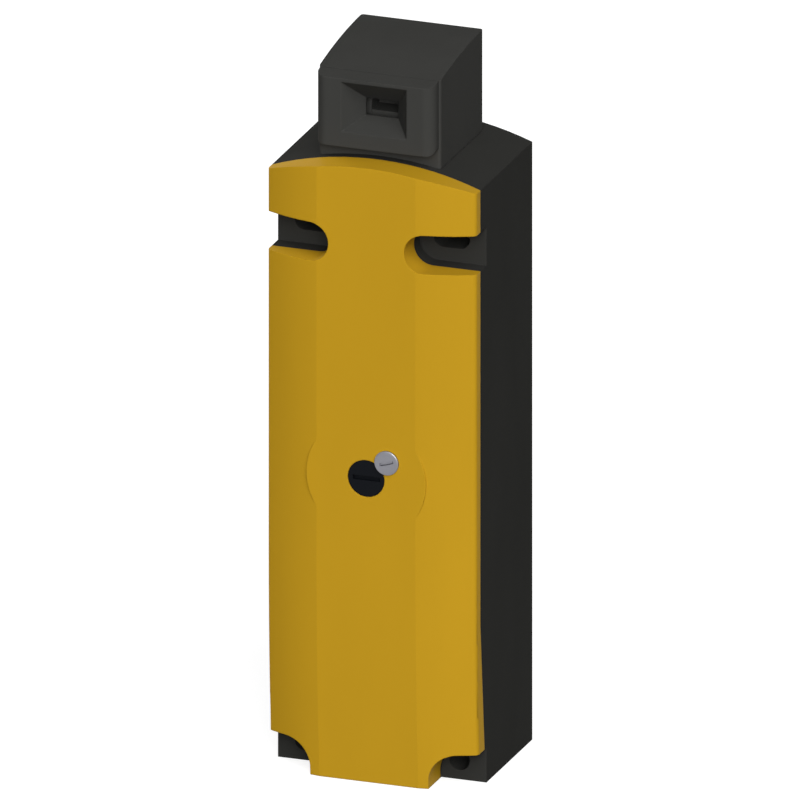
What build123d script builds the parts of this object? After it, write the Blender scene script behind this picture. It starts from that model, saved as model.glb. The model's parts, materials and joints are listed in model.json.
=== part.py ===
from build123d import *
from math import asin, atan2, cos, degrees, pi, radians, sin, sqrt
import os

os.makedirs("parts", exist_ok=True)

# Tongue interlock switch with a solenoid lock.
# Millimetres. X to the right seen from the front, Y to the back, Z up.
# Origin: middle of the width and of the depth, on the bottom face.

# Whole body
width = 54.0
depth = 45.0
crown_height = 159.6
arch_radius = 79.0
wall = 2.4
seal_head_thickness = 0.8
half_width = width / 2
front_y = -depth / 2 + seal_head_thickness
back_y = depth / 2
inner_back_y = back_y - wall
inner_half_width = half_width - wall
shoulder_height = crown_height - arch_radius + sqrt(arch_radius**2 - half_width**2)

# Clearances shared by all fits
running_gap = 0.05
slide_gap = 0.1
air_gap = 0.3

# Parting surface between cover and enclosure
cover_depth = 7.3
parting_y = front_y + cover_depth
parting_bend_height = 42.0
parting_fall = 3.8

# Cover
strip_half_width = 12.8
flank_drop = 4.3
flank_bulge = 0.58
flank_round = 1.4
bend_height = 57.0
bend_radius = 800.0
bend_overrun = 2.0
pad_diameter = 31.0
release_height = 79.3
gasket_width = 0.8
gasket_depth = 1.2
gasket_inset = 0.8
tab_width = 8.0
tab_reach = 4.0
tab_root = 1.6
tab_thickness = 1.2
tab_heights = (68.0, 116.0)

# Fixing recesses and holes
recess_depth = 11.6
recess_y = front_y + recess_depth
slot_height = 10.0
slot_middle_z = 138.9
slot_reach = 17.2
slot_inner_x = half_width - slot_reach
foot_reach = 11.7
foot_inner_x = half_width - foot_reach
foot_height = 9.0
foot_radius = 7.0
fixing_hole_diameter = 5.3
top_fixing_inset = 9.0
top_fixing_x = half_width - top_fixing_inset
top_fixing_z = 140.0
top_fixing_slot = 9.4
foot_fixing_inset = 7.0
foot_fixing_x = half_width - foot_fixing_inset
foot_fixing_z = 5.0

# Cable entry in the bottom wall
entry_bore_diameter = 18.5
entry_boss_diameter = 23.6
entry_boss_height = 10.0
entry_inset = 16.6
entry_y = back_y - entry_inset

# Head
head_half_width = 15.75
head_setback = 9.8
head_rear_setback = 4.0
head_wall = 2.2
head_top = 184.0
head_top_radius = 150.0
head_edge_round = 0.8
seat_drop = 2.4
seat_pad_depth = 5.0
seat_pad_margin = 1.5
head_gasket_thickness = 0.8
head_screw_x = 5.2
pillar_setback = 3.7
head_screw_bite = 6.0
pillar_radius = 2.3
pillar_height = 7.0
head_front_y = front_y + head_setback
head_back_y = back_y - head_rear_setback
head_depth = head_back_y - head_front_y
head_screw_offset_y = head_depth / 2 - pillar_setback
head_inner_half_width = head_half_width - head_wall
mechanism_y = (head_front_y + head_back_y) / 2
seat_z = crown_height - seat_drop
head_base = seat_z + head_gasket_thickness

# Entry plate with the tongue funnel
plate_half_width = 15.3
plate_thickness = 4.25
plate_bottom = 162.3
plate_edge_round = 2.9
plate_corner_round = 1.5
mouth_half_width = 8.5
mouth_bottom = 166.2
mouth_top = 179.1
throat_half_width = 4.2
throat_bottom = 169.1
throat_top = 173.6
funnel_depth = 6.0
spigot_half_width = 7.2
spigot_bottom = 166.6
spigot_top = 177.0
plate_front_y = head_front_y - plate_thickness

# Drum in the head
drum_rise = 10.0
drum_radius = 8.8
cam_radius = 8.6
cam_half_width = 4.5
cam_lead_angle = 8.0
flange_thickness = 2.0
axle_radius = 2.0
axle_half_length = 12.9
rib_thickness = 2.25
rib_half_depth = 4.0
rib_rise = 5.0
spacer_radius = 4.0
tongue_turn = 70.0
slide_travel = 4.8
tip_radius = 1.2
tip_half_width = 2.4
pocket_floor = 0.8
pocket_height = 5.2
pocket_back = 3.0
drum_z = head_base + drum_rise
cam_rate = slide_travel / radians(tongue_turn)
pitch_radius = cam_radius + tip_radius + air_gap

# Plunger and its bush
plunger_radius = 3.5
plunger_hook_radius = 2.6
plunger_hook_height = 2.0
plunger_neck_radius = 1.8
plunger_neck_length = 3.0
bush_radius = 5.5
bush_flange_radius = 7.0
bush_flange = 1.0
tip_z = drum_z - pitch_radius
plunger_shoulder_z = drum_z - drum_radius - air_gap - slide_travel
plunger_base_z = seat_z - seat_pad_depth - bush_flange - slide_travel - air_gap
plunger_hook_z = plunger_base_z - plunger_neck_length - plunger_hook_height

# Slide: one moulded piece from the neck down to the contact block
slide_thickness = 7.0
stem_half_width = 4.5
crossbar_bottom = 118.5
crossbar_top = 125.0
leg_clearance = 2.1
leg_width = 6.5
leg_outer_x = leg_clearance - inner_half_width
leg_inner_x = leg_outer_x + leg_width
chassis_drop = 11.8
slide_foot_drop = 9.0
slide_foot_height = 4.0
slide_foot_overhang = 1.4
chassis_bottom = release_height - chassis_drop
slide_foot_bottom = chassis_bottom - slide_foot_drop
slide_foot_top = slide_foot_bottom + slide_foot_height
block_x = inner_half_width / 2 + slide_gap
carrier_width = 5.0
slide_foot_end_x = slide_foot_overhang + carrier_width / 2 - block_x

# Lock bar and the monitor slot that it carries
bar_z = 100.0
bar_height = 4.0
bar_thickness = 4.0
bar_travel = 4.0
nose_face = 1.5
spigot_radius = 1.5
arm_width = 3.0
arm_thickness = 2.0
monitor_pin_radius = 1.2
monitor_pin_inset = 2.5
monitor_pin_rise = 12.8
monitor_pin_x = slide_foot_end_x + monitor_pin_inset
monitor_pin_z = slide_foot_bottom + monitor_pin_rise
lug_width = 2.0
lug_offset = 0.4
lug_left_x = monitor_pin_x + lug_offset
bar_end_x = lug_left_x + arm_width - lug_offset
lug_reach = 8.1
monitor_travel = 3.0
slot_wall = 1.4

# Solenoid
yoke_left_x = 5.5
yoke_clearance = 0.4
yoke_right_x = inner_half_width - yoke_clearance
yoke_height = 24.0
yoke_plate = 1.8
solenoid_screw_reach = 6.0
armature_left_x = 3.5
armature_right_x = 13.0
armature_stroke = 3.0
armature_margin = 1.5
armature_wall = 1.9
armature_bore_depth = 4.0
spigot_play = 1.5
spigot_length = (armature_left_x - bar_end_x - spigot_play) / 2
bobbin_flange = 1.5
bobbin_tube = 1.0
terminal_pin = 0.7
terminal_pin_reach = 3.0
terminal_pin_length = 3.0

# Chassis behind the mechanism
chassis_half_width = inner_half_width - air_gap
chassis_top = 129.5
chassis_thickness = 2.4
boss_height = 2.4
boss_width = 8.0
chassis_screw_inset_x = 5.1
chassis_screw_inset_z = 4.3
chassis_screw_x = inner_half_width - chassis_screw_inset_x
chassis_screw_low = chassis_bottom + chassis_screw_inset_z
chassis_screw_high = chassis_top - chassis_screw_inset_z
screw_radius = 1.5
screw_head_radius = 2.7
screw_head_height = 2.0
guide_gap = 1.0
guide_left_x = leg_inner_x + guide_gap
guide_right_x = lug_left_x - 2 * lug_offset
guide_half_height = 4.75
keeper_right_x = lug_left_x - bar_travel - guide_gap
keeper_thickness = 2.0
keeper_screw_radius = 0.8
keeper_screw_bite = 4.0
guide_cheek = 1.5
leg_guide_length = 6.0
leg_guide_rise = 12.0
leg_guide_heights = (112.5, chassis_bottom + leg_guide_rise)
shelf_top = 108.5
shelf_thickness = 3.0
slide_spring_x = -8.0
slide_spring_radius = 3.0
chassis_back_y = inner_back_y - boss_height
chassis_y = chassis_back_y - chassis_thickness
yoke_half_depth = chassis_y - mechanism_y
bobbin_margin = 0.6
winding_margin = 0.8
bobbin_flange_radius = yoke_half_depth - yoke_plate - bobbin_margin
winding_radius = bobbin_flange_radius - winding_margin
armature_radius = yoke_half_depth / 2 - armature_margin
armature_bore_radius = armature_radius - armature_wall

# Release shaft, knob and leaf
knob_radius = 4.75
knob_thickness = 2.0
shaft_radius = 2.5
shaft_gap_y = 6.3
release_cam_length = 4.4
release_cam_radius = 3.6
release_cam_flat = 1.8
clip_radius = 4.0
clip_thickness = 0.8
seal_wire = 0.6
leaf_thickness = 0.4
leaf_width = 3.6
leaf_overlap = 1.0
leaf_joggle_rise = 5.7
leaf_joggle_drop = 10.0
leaf_top = bar_z + leaf_overlap
leaf_joggle_low = release_height + leaf_joggle_rise
leaf_joggle_high = bar_z - leaf_joggle_drop
leaf_foot = 4.0
leaf_post_wall = 1.0
knob_front_y = front_y + air_gap
knob_back_y = knob_front_y + knob_thickness
release_cam_back_y = mechanism_y - shaft_gap_y
release_cam_front_y = release_cam_back_y - release_cam_length

# Screw beside the knob: it holds the cover to the enclosure's cross rib
seal_screw_x = 5.45
seal_screw_rise = 4.8
seal_screw_z = release_height + seal_screw_rise
seal_head_radius = 3.1
cross_rib_depth = 4.0
cross_rib_rise = 2.9
cross_rib_height = 5.0
cross_rib_bottom = release_height + cross_rib_rise
cross_rib_top = cross_rib_bottom + cross_rib_height

# Contact blocks
block_clearance = 4.1
block_headroom = 3.0
block_width = inner_half_width - block_clearance
block_bottom = 15.0
block_top = slide_foot_bottom - block_headroom
block_setback = 13.2
carrier_depth = 6.0
carrier_rise = 7.0
channel_rise = 2.2
chamber_wall = 1.35
bridge_rise = 9.5
bridge_lift = 1.0
bridge_clearance = 0.6
carrier_bottom = block_bottom + carrier_rise
channel_bottom = block_bottom + channel_rise
chamber_half_width = block_width / 2 - chamber_wall
bridge_low = block_bottom + bridge_rise
bridge_heights = (bridge_low, (bridge_low + block_top) / 2 + bridge_lift)
bridge_thickness = 0.8
bridge_half_length = chamber_half_width - bridge_clearance
bridge_depth = 4.0
window_height = 3.2
spring_leaf_thickness = 0.3
contact_inset = 1.7
contact_x = bridge_half_length - contact_inset
contact_width = 3.6
contact_radius = 1.4
contact_button = 0.5
strip_thickness = 0.9
terminal_rise = 7.0
terminal_screw_rise = 4.2
clamp_thickness = 1.0
clamp_size = 5.6
block_chamfer = 0.6
block_screw_rise = 4.0
block_screw_z = block_bottom + block_screw_rise
carrier_spring_radius = 1.7
terminal_screw_radius = 1.0
terminal_head_radius = 2.4
terminal_head_height = 1.8
terminal_screw_bite = 4.0
crossbar_height = 3.5
crossbar_gap = 0.5
crossbar_left_x = slide_foot_end_x + crossbar_gap
riser_width = 4.0
riser_depth = 2.7
block_front_y = front_y + block_setback

# Wire springs and small hidden rounds
link_wire = 0.5
carrier_wire = 0.6
slide_wire = 0.8
spring_bends = 8
small_sides = 8


def front_plane(y):
    """Plane seen from the front, at depth y. A positive extrude comes forward."""
    return Plane.XZ.offset(-y)


def save(builder, name):
    """Label a finished piece and write its file."""
    builder.part.label = name
    export_step(builder.part, f"parts/{name}.step")


def small_round(radius, mode=Mode.ADD):
    """Small hidden round with few sides, for a screw's shank or the hole it fills."""
    RegularPolygon(radius, small_sides, mode=mode)


def screw_set(name, plane, points, head_radius, head_height, length, radius=screw_radius):
    """Hexagon screws with their heads standing on the plane and their shanks behind it."""
    with BuildPart() as screws:
        with BuildSketch(plane):
            with Locations(*points):
                RegularPolygon(head_radius, 6)
        extrude(amount=head_height)
        with BuildSketch(plane):
            with Locations(*points):
                small_round(radius)
        extrude(amount=-length)
    save(screws, name)


def coil_spring(name, base, direction, length, radius, wire, turns):
    """Helical spring of square wire, standing on base along direction."""
    steps = turns * spring_bends
    rise = (length - wire * sqrt(2)) / steps
    stand = Plane(origin=base, z_dir=direction)
    points = []
    for step in range(steps + 1):
        angle = 2 * pi * step / spring_bends
        height = wire / sqrt(2) + rise * step
        points.append(stand.from_local_coords((radius * cos(angle), radius * sin(angle), height)))
    with BuildPart() as spring:
        with BuildLine() as path:
            Polyline(*points)
        with BuildSketch(Plane(origin=path.line @ 0, z_dir=path.line % 0)):
            Rectangle(wire, wire)
        sweep(path=path.line, transition=Transition.RIGHT)
    save(spring, name)


def relief_shape():
    """Four fixing recesses: round-ended side slots above, corner cut-outs below."""
    reach = width
    round_radius = slot_height / 2
    with BuildSketch() as reliefs:
        for side in (-1, 1):
            with Locations((side * (foot_inner_x + reach / 2), foot_height - reach / 2)):
                Rectangle(reach, reach)
        fillet(reliefs.vertices().group_by(Axis.Y)[-1], foot_radius)
        for side in (-1, 1):
            with Locations((side * (slot_inner_x + round_radius), slot_middle_z)):
                Circle(round_radius)
            with Locations((side * (slot_inner_x + round_radius + reach / 2), slot_middle_z)):
                Rectangle(reach, slot_height)
    return reliefs.sketch


def outline(inset=0.0, relieved=True):
    """Front outline with the arched top, moved inwards by the inset."""
    with BuildSketch() as face:
        with BuildLine():
            left_shoulder = (-half_width, shoulder_height)
            right_shoulder = (half_width, shoulder_height)
            Polyline(left_shoulder, (-half_width, 0), (half_width, 0), right_shoulder)
            ThreePointArc(right_shoulder, (0, crown_height), left_shoulder)
        make_face()
        if relieved:
            add(relief_shape(), mode=Mode.SUBTRACT)
        if inset > 0:
            offset(amount=-inset)
    return face.sketch


def behind_parting(shift=0.0):
    """Everything behind the parting surface, which slopes back towards the foot."""
    far = crown_height + depth
    y = parting_y - shift
    with BuildPart() as behind:
        with BuildSketch(Plane.YZ):
            with BuildLine():
                Polyline(
                    (y, far),
                    (y, parting_bend_height),
                    (y + parting_fall, 0),
                    (y + parting_fall, -far),
                    (y + far, -far),
                    (y + far, far),
                    close=True,
                )
            make_face()
        extrude(amount=width, both=True)
    return behind.part


def cover_form(inset=0.0):
    """Outer form of the cover, or its hollow where the inset is the wall."""
    half_span = half_width - inset
    front = front_y + inset
    flank_y = front + flank_drop
    left_flank = (-half_span, flank_y)
    right_flank = (half_span, flank_y)
    with BuildPart() as form:
        with BuildSketch(Plane.XY.offset(bend_height)) as section:
            with BuildLine():
                Line((-strip_half_width, front), (strip_half_width, front))
                SagittaArc((strip_half_width, front), right_flank, -flank_bulge)
                Polyline(right_flank, (half_span, back_y), (-half_span, back_y), left_flank)
                SagittaArc(left_flank, (-strip_half_width, front), -flank_bulge)
            make_face()
            corners = section.vertices().filter_by(lambda v: abs(v.Y - flank_y) < 0.01)
            fillet(corners, flank_round)
        extrude(amount=crown_height)
        revolve(
            section.sketch,
            axis=Axis((0, front_y + bend_radius, bend_height), (1, 0, 0)),
            revolution_arc=degrees(asin(bend_height / bend_radius)) + bend_overrun,
        )
        with BuildSketch(front_plane(back_y)):
            add(outline(inset))
        extrude(amount=depth * 2, mode=Mode.INTERSECT)
    return form.part


chassis_screw_points = [
    (side * chassis_screw_x, height)
    for side in (-1, 1)
    for height in (chassis_screw_low, chassis_screw_high)
]
block_screw_points = [
    (side * block_x + offset_x, block_screw_z)
    for side in (-1, 1)
    for offset_x in (-contact_x, contact_x)
]
head_screw_points = [
    (x, mechanism_y + y)
    for x in (-head_screw_x, head_screw_x)
    for y in (-head_screw_offset_y, head_screw_offset_y)
]

# Enclosure
with BuildPart() as enclosure:
    with BuildSketch(front_plane(back_y)):
        add(outline(relieved=False))
    extrude(amount=back_y - parting_y)
    with BuildSketch(front_plane(inner_back_y)):
        add(outline(wall))
    extrude(amount=depth, mode=Mode.SUBTRACT)
    # pad under the arch that carries the head
    with BuildSketch(front_plane(inner_back_y)):
        with Locations((0, seat_z - seat_pad_depth)):
            Rectangle(
                2 * (head_half_width + seat_pad_margin),
                2 * seat_pad_depth,
                align=(Align.CENTER, Align.MIN),
            )
        add(outline(wall / 2, relieved=False), mode=Mode.INTERSECT)
    extrude(amount=inner_back_y - parting_y - seat_pad_margin)
    with BuildSketch(Plane.XY.offset(seat_z)):
        with Locations((0, mechanism_y)):
            RectangleRounded(
                2 * (head_half_width + running_gap),
                head_depth + 2 * running_gap,
                head_edge_round,
            )
    extrude(amount=2 * seat_drop, mode=Mode.SUBTRACT)
    with BuildSketch(Plane.XY.offset(seat_z)):
        with Locations((0, mechanism_y)):
            Circle(bush_radius)
        with Locations(*head_screw_points):
            small_round(screw_radius)
    extrude(amount=-seat_pad_depth, mode=Mode.SUBTRACT)
    # cable entry boss and bore
    with BuildSketch():
        with Locations((0, entry_y)):
            Circle(entry_boss_diameter / 2)
    extrude(amount=entry_boss_height)
    with BuildSketch():
        with Locations((0, entry_y)):
            Circle(entry_bore_diameter / 2)
    extrude(amount=entry_boss_height, mode=Mode.SUBTRACT)
    # cross rib that takes the cover's screw
    with BuildSketch(front_plane(parting_y + cross_rib_depth)):
        with Locations((0, cross_rib_bottom)):
            Rectangle(
                2 * inner_half_width,
                cross_rib_top - cross_rib_bottom,
                align=(Align.CENTER, Align.MIN),
            )
        with Locations((seal_screw_x, seal_screw_z)):
            small_round(screw_radius, Mode.SUBTRACT)
    extrude(amount=cross_rib_depth)
    # chassis bosses, and the rib that the contact blocks hook under
    with BuildSketch(front_plane(inner_back_y)):
        with Locations(*chassis_screw_points):
            Rectangle(boss_width, boss_width)
    extrude(amount=boss_height)
    with BuildSketch(front_plane(inner_back_y)):
        with Locations((0, block_top)):
            Rectangle(2 * block_x + block_width, wall, align=(Align.CENTER, Align.MIN))
    extrude(amount=2 * wall)
    with BuildSketch(front_plane(back_y - wall / 2)):
        with Locations(*chassis_screw_points, *block_screw_points):
            small_round(screw_radius)
    extrude(amount=wall / 2 + boss_height, mode=Mode.SUBTRACT)
    # fixing recesses, parting surface and fixing holes
    with BuildSketch(front_plane(recess_y)):
        add(relief_shape())
    extrude(amount=depth, mode=Mode.SUBTRACT)
    add(behind_parting(), mode=Mode.INTERSECT)
    with BuildSketch(front_plane(back_y)):
        with Locations((-top_fixing_x, top_fixing_z), (top_fixing_x, top_fixing_z)):
            SlotOverall(top_fixing_slot, fixing_hole_diameter)
        with Locations((-foot_fixing_x, foot_fixing_z), (foot_fixing_x, foot_fixing_z)):
            Circle(fixing_hole_diameter / 2)
    extrude(amount=depth, mode=Mode.SUBTRACT)
save(enclosure, "enclosure")

# Gasket in the cover's rim
with BuildPart() as cover_gasket:
    with BuildSketch(front_plane(parting_y + parting_fall)):
        add(outline(gasket_inset))
        add(outline(gasket_inset + gasket_width), mode=Mode.SUBTRACT)
    extrude(amount=parting_fall + 2 * gasket_depth)
    add(behind_parting(gasket_depth), mode=Mode.INTERSECT)
    add(behind_parting(), mode=Mode.SUBTRACT)
save(cover_gasket, "cover_gasket")

# Cover with its round pad, the boss for release and screw, and locating tabs
with BuildPart() as cover:
    add(cover_form())
    with BuildSketch(front_plane(front_y + flank_drop)):
        with Locations((0, release_height)):
            Circle(pad_diameter / 2)
    extrude(amount=flank_drop)
    add(cover_form(wall), mode=Mode.SUBTRACT)
    with BuildSketch(front_plane(parting_y)):
        with Locations((0, release_height)):
            Circle(knob_radius + wall)
        with Locations((seal_screw_x, seal_screw_z)):
            Circle(screw_radius + wall)
    extrude(amount=cover_depth - wall / 2)
    add(behind_parting(), mode=Mode.SUBTRACT)
    add(cover_gasket.part, mode=Mode.SUBTRACT)
    for side in (-1, 1):
        for height in tab_heights:
            with Locations((side * (inner_half_width - tab_thickness / 2), parting_y, height)):
                Box(
                    tab_thickness, tab_root, tab_width, align=(Align.CENTER, Align.MAX, Align.CENTER)
                )
            tab_x = inner_half_width - slide_gap - tab_thickness / 2
            with Locations((side * tab_x, parting_y - tab_root, height)):
                Box(
                    tab_thickness,
                    tab_root + tab_reach,
                    tab_width,
                    align=(Align.CENTER, Align.MIN, Align.CENTER),
                )
    with BuildSketch(front_plane(knob_back_y + air_gap)):
        with Locations((0, release_height)):
            Circle(knob_radius + running_gap)
    extrude(amount=depth, mode=Mode.SUBTRACT)
    with BuildSketch(front_plane(parting_y)):
        with Locations((0, release_height)):
            Circle(clip_radius + air_gap)
    extrude(amount=clip_thickness + 2 * air_gap, mode=Mode.SUBTRACT)
    with BuildSketch(front_plane(parting_y)):
        with Locations((0, release_height)):
            Circle(shaft_radius + running_gap)
        with Locations((seal_screw_x, seal_screw_z)):
            small_round(screw_radius + slide_gap)
    extrude(amount=cover_depth, mode=Mode.SUBTRACT)
save(cover, "cover")

# Screw over the knob's rim
with BuildPart() as seal_screw:
    with BuildSketch(front_plane(front_y)):
        with Locations((seal_screw_x, seal_screw_z)):
            Circle(seal_head_radius)
    extrude(amount=seal_head_thickness)
    with BuildSketch(front_plane(front_y)):
        with Locations((seal_screw_x, seal_screw_z)):
            small_round(screw_radius)
    extrude(amount=-(cover_depth + cross_rib_depth))
save(seal_screw, "seal_screw")

# Release knob, shaft with its flatted cam, clip and seal
with BuildPart() as release_knob:
    with BuildSketch(front_plane(knob_back_y)):
        with Locations((0, release_height)):
            Circle(knob_radius)
    extrude(amount=knob_thickness)
    with BuildSketch(front_plane(knob_front_y)):
        with Locations((0, release_height)):
            Rectangle(2 * knob_radius - wall, leaf_thickness * 3)
    extrude(amount=-knob_thickness / 2, mode=Mode.SUBTRACT)
save(release_knob, "release_knob")

clip_front_y = parting_y - air_gap - clip_thickness
seal_y = knob_back_y + wall
with BuildPart() as release_shaft:
    with BuildSketch(front_plane(release_cam_front_y)):
        with Locations((0, release_height)):
            Circle(shaft_radius)
    extrude(amount=release_cam_front_y - knob_back_y)
    with BuildSketch(front_plane(release_cam_back_y)):
        with Locations((0, release_height)):
            Circle(release_cam_radius)
        with Locations((release_cam_flat + release_cam_radius, release_height)):
            Rectangle(2 * release_cam_radius, 2 * release_cam_radius, mode=Mode.SUBTRACT)
    extrude(amount=release_cam_length)
    # grooves for the clip and for the seal
    for groove_y, groove_width, groove_depth in (
        (clip_front_y + clip_thickness, clip_thickness, seal_wire),
        (seal_y + seal_wire, 2 * seal_wire, 2 * seal_wire),
    ):
        with BuildSketch(front_plane(groove_y)):
            with Locations((0, release_height)):
                Circle(shaft_radius + running_gap)
                Circle(shaft_radius - groove_depth, mode=Mode.SUBTRACT)
        extrude(amount=groove_width, mode=Mode.SUBTRACT)
save(release_shaft, "release_shaft")

with BuildPart() as release_clip:
    with BuildSketch(front_plane(clip_front_y + clip_thickness)):
        with Locations((0, release_height)):
            Circle(clip_radius)
            Circle(shaft_radius - seal_wire, mode=Mode.SUBTRACT)
        with Locations((0, release_height - clip_radius)):
            Rectangle(2 * (shaft_radius - seal_wire), 2 * clip_radius, mode=Mode.SUBTRACT)
    extrude(amount=clip_thickness)
save(release_clip, "release_clip")

with BuildPart() as release_seal:
    with BuildSketch(front_plane(seal_y + seal_wire)):
        with Locations((0, release_height)):
            Circle(shaft_radius)
            Circle(shaft_radius - 2 * seal_wire, mode=Mode.SUBTRACT)
    extrude(amount=2 * seal_wire)
save(release_seal, "release_seal")

# Joggled leaf that carries the release's push to the lock bar
leaf_x = release_cam_flat + air_gap + slide_gap + leaf_thickness / 2
leaf_tip_x = lug_left_x - bar_travel - air_gap - leaf_thickness / 2
leaf_foot_z = chassis_bottom + leaf_post_wall
leaf_front_y = release_cam_back_y - (release_cam_length + leaf_width) / 2
leaf_back_y = leaf_front_y + leaf_width
with BuildPart() as release_leaf:
    with BuildSketch(front_plane(leaf_back_y)):
        with BuildLine() as bend:
            FilletPolyline(
                (leaf_x, leaf_foot_z),
                (leaf_x, leaf_joggle_low),
                (leaf_tip_x, leaf_joggle_high),
                (leaf_tip_x, leaf_top),
                radius=wall / 2,
            )
        trace(line_width=leaf_thickness)
    extrude(amount=leaf_width)
save(release_leaf, "release_leaf")


def head_profile(front, back, base, inset):
    """Side profile of the head: flat base, upright back, roof falling to the front."""
    radius = head_top_radius - inset
    centre_z = head_top - head_top_radius
    with BuildSketch() as face:
        with BuildLine():
            drop_front = centre_z + sqrt(radius**2 - (head_back_y - front) ** 2)
            drop_back = centre_z + sqrt(radius**2 - (head_back_y - back) ** 2)
            Polyline((front, drop_front), (front, base), (back, base), (back, drop_back))
            RadiusArc((front, drop_front), (back, drop_back), radius)
        make_face()
    return face.sketch


# Head housing
with BuildPart() as head_housing:
    with BuildSketch(Plane.YZ):
        add(head_profile(head_front_y, head_back_y, head_base, 0))
    extrude(amount=head_half_width, both=True)
    fillet(head_housing.edges().filter_by(Axis.Z), head_edge_round)
    with BuildSketch(Plane.YZ):
        add(head_profile(head_front_y + head_wall, head_back_y - head_wall, head_base, head_wall))
    extrude(amount=head_inner_half_width, both=True, mode=Mode.SUBTRACT)
    with BuildSketch(Plane.XY.offset(head_base)):
        with Locations(*head_screw_points):
            small_round(pillar_radius)
    extrude(amount=pillar_height)
    with BuildSketch(Plane.XY.offset(head_base)):
        with Locations(*head_screw_points):
            small_round(screw_radius)
    extrude(amount=head_screw_bite, mode=Mode.SUBTRACT)
    # ribs with the slots that the axle drops into
    for side in (-1, 1):
        with BuildSketch(Plane.YZ.offset(side * head_inner_half_width)):
            with Locations((mechanism_y, head_base)):
                Rectangle(2 * rib_half_depth, drum_rise + rib_rise, align=(Align.CENTER, Align.MIN))
                Rectangle(
                    2 * (axle_radius + running_gap),
                    drum_rise,
                    align=(Align.CENTER, Align.MIN),
                    mode=Mode.SUBTRACT,
                )
            with Locations((mechanism_y, drum_z)):
                Circle(axle_radius + running_gap, mode=Mode.SUBTRACT)
        extrude(amount=-side * rib_thickness)
    # window for the entry plate's spigot
    with BuildSketch(front_plane(head_front_y + head_wall)):
        with Locations((0, (spigot_bottom + spigot_top) / 2)):
            Rectangle(
                2 * (spigot_half_width + running_gap),
                spigot_top - spigot_bottom + 2 * running_gap,
            )
    extrude(amount=head_wall, mode=Mode.SUBTRACT)
save(head_housing, "head_housing")

# Entry plate with its funnel
with BuildPart() as entry_plate:
    with BuildSketch(Plane.YZ):
        add(head_profile(plate_front_y, head_front_y, plate_bottom, 0))
    extrude(amount=plate_half_width, both=True)
    fillet(entry_plate.edges().filter_by(Axis.Z).group_by(Axis.Y)[0], plate_edge_round)
    with BuildSketch(front_plane(head_front_y)) as corners:
        with Locations((0, plate_bottom)):
            Rectangle(2 * plate_half_width, head_top, align=(Align.CENTER, Align.MIN))
        fillet(corners.vertices().group_by(Axis.Y)[0], plate_corner_round)
    extrude(amount=plate_thickness, mode=Mode.INTERSECT)
    with BuildSketch(front_plane(head_front_y + head_wall)):
        with Locations((0, (spigot_bottom + spigot_top) / 2)):
            Rectangle(2 * spigot_half_width, spigot_top - spigot_bottom)
    extrude(amount=head_wall)
    with BuildSketch(front_plane(plate_front_y)):
        with Locations((0, (mouth_bottom + mouth_top) / 2)):
            Rectangle(2 * mouth_half_width, mouth_top - mouth_bottom)
    with BuildSketch(front_plane(plate_front_y + funnel_depth)):
        with Locations((0, (throat_bottom + throat_top) / 2)):
            Rectangle(2 * throat_half_width, throat_top - throat_bottom)
    loft(mode=Mode.SUBTRACT)
    with BuildSketch(front_plane(head_front_y + head_wall)):
        with Locations((0, (throat_bottom + throat_top) / 2)):
            Rectangle(2 * throat_half_width, throat_top - throat_bottom)
    extrude(amount=head_wall, mode=Mode.SUBTRACT)
save(entry_plate, "entry_plate")

# Gasket under the head
with BuildPart() as head_gasket:
    with BuildSketch(Plane.XY.offset(seat_z)):
        with Locations((0, mechanism_y)):
            RectangleRounded(2 * head_half_width, head_depth, head_edge_round)
            Circle(bush_radius + running_gap, mode=Mode.SUBTRACT)
        with Locations(*head_screw_points):
            small_round(screw_radius, Mode.SUBTRACT)
    extrude(amount=head_gasket_thickness)
save(head_gasket, "head_gasket")

screw_set(
    "head_screws",
    Plane(origin=(0, 0, seat_z - seat_pad_depth), x_dir=(1, 0, 0), z_dir=(0, 0, -1)),
    [(x, -y) for x, y in head_screw_points],
    screw_head_radius,
    screw_head_height,
    seat_pad_depth + head_gasket_thickness + head_screw_bite,
)

# Axle, its keepers and the spacers beside the drum
with BuildPart() as drum_axle:
    with BuildSketch(Plane.YZ):
        with Locations((mechanism_y, drum_z)):
            Circle(axle_radius)
    extrude(amount=axle_half_length, both=True)
save(drum_axle, "drum_axle")

with BuildPart() as axle_keepers:
    for side in (-1, 1):
        with BuildSketch(Plane.YZ.offset(side * head_inner_half_width)):
            with Locations((mechanism_y, head_base)):
                Rectangle(2 * axle_radius, drum_rise, align=(Align.CENTER, Align.MIN))
            with Locations((mechanism_y, drum_z)):
                Circle(axle_radius, mode=Mode.SUBTRACT)
        extrude(amount=-side * rib_thickness)
save(axle_keepers, "axle_keepers")

drum_half_width = cam_half_width + flange_thickness
with BuildPart() as drum_spacers:
    for side in (-1, 1):
        with BuildSketch(Plane.YZ.offset(side * (drum_half_width + air_gap))):
            with Locations((mechanism_y, drum_z)):
                Circle(spacer_radius)
                Circle(axle_radius + running_gap, mode=Mode.SUBTRACT)
        extrude(amount=side * (head_inner_half_width - rib_thickness - drum_half_width - air_gap))
save(drum_spacers, "drum_spacers")


def on_drum(angle, radius, sideways=0.0):
    """Point at an angle from straight down towards the back, seen in the side view."""
    y = mechanism_y + radius * sin(angle) + sideways * cos(angle)
    z = drum_z - radius * cos(angle) + sideways * sin(angle)
    return (y, z)


def cam_point(angle):
    """Point of the cam at which the plunger's round tip keeps its air gap."""
    pitch = pitch_radius - cam_rate * angle
    slope = sqrt(pitch**2 + cam_rate**2)
    reach = tip_radius + air_gap
    return on_drum(angle, pitch * (1 - reach / slope), -cam_rate * reach / slope)


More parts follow.
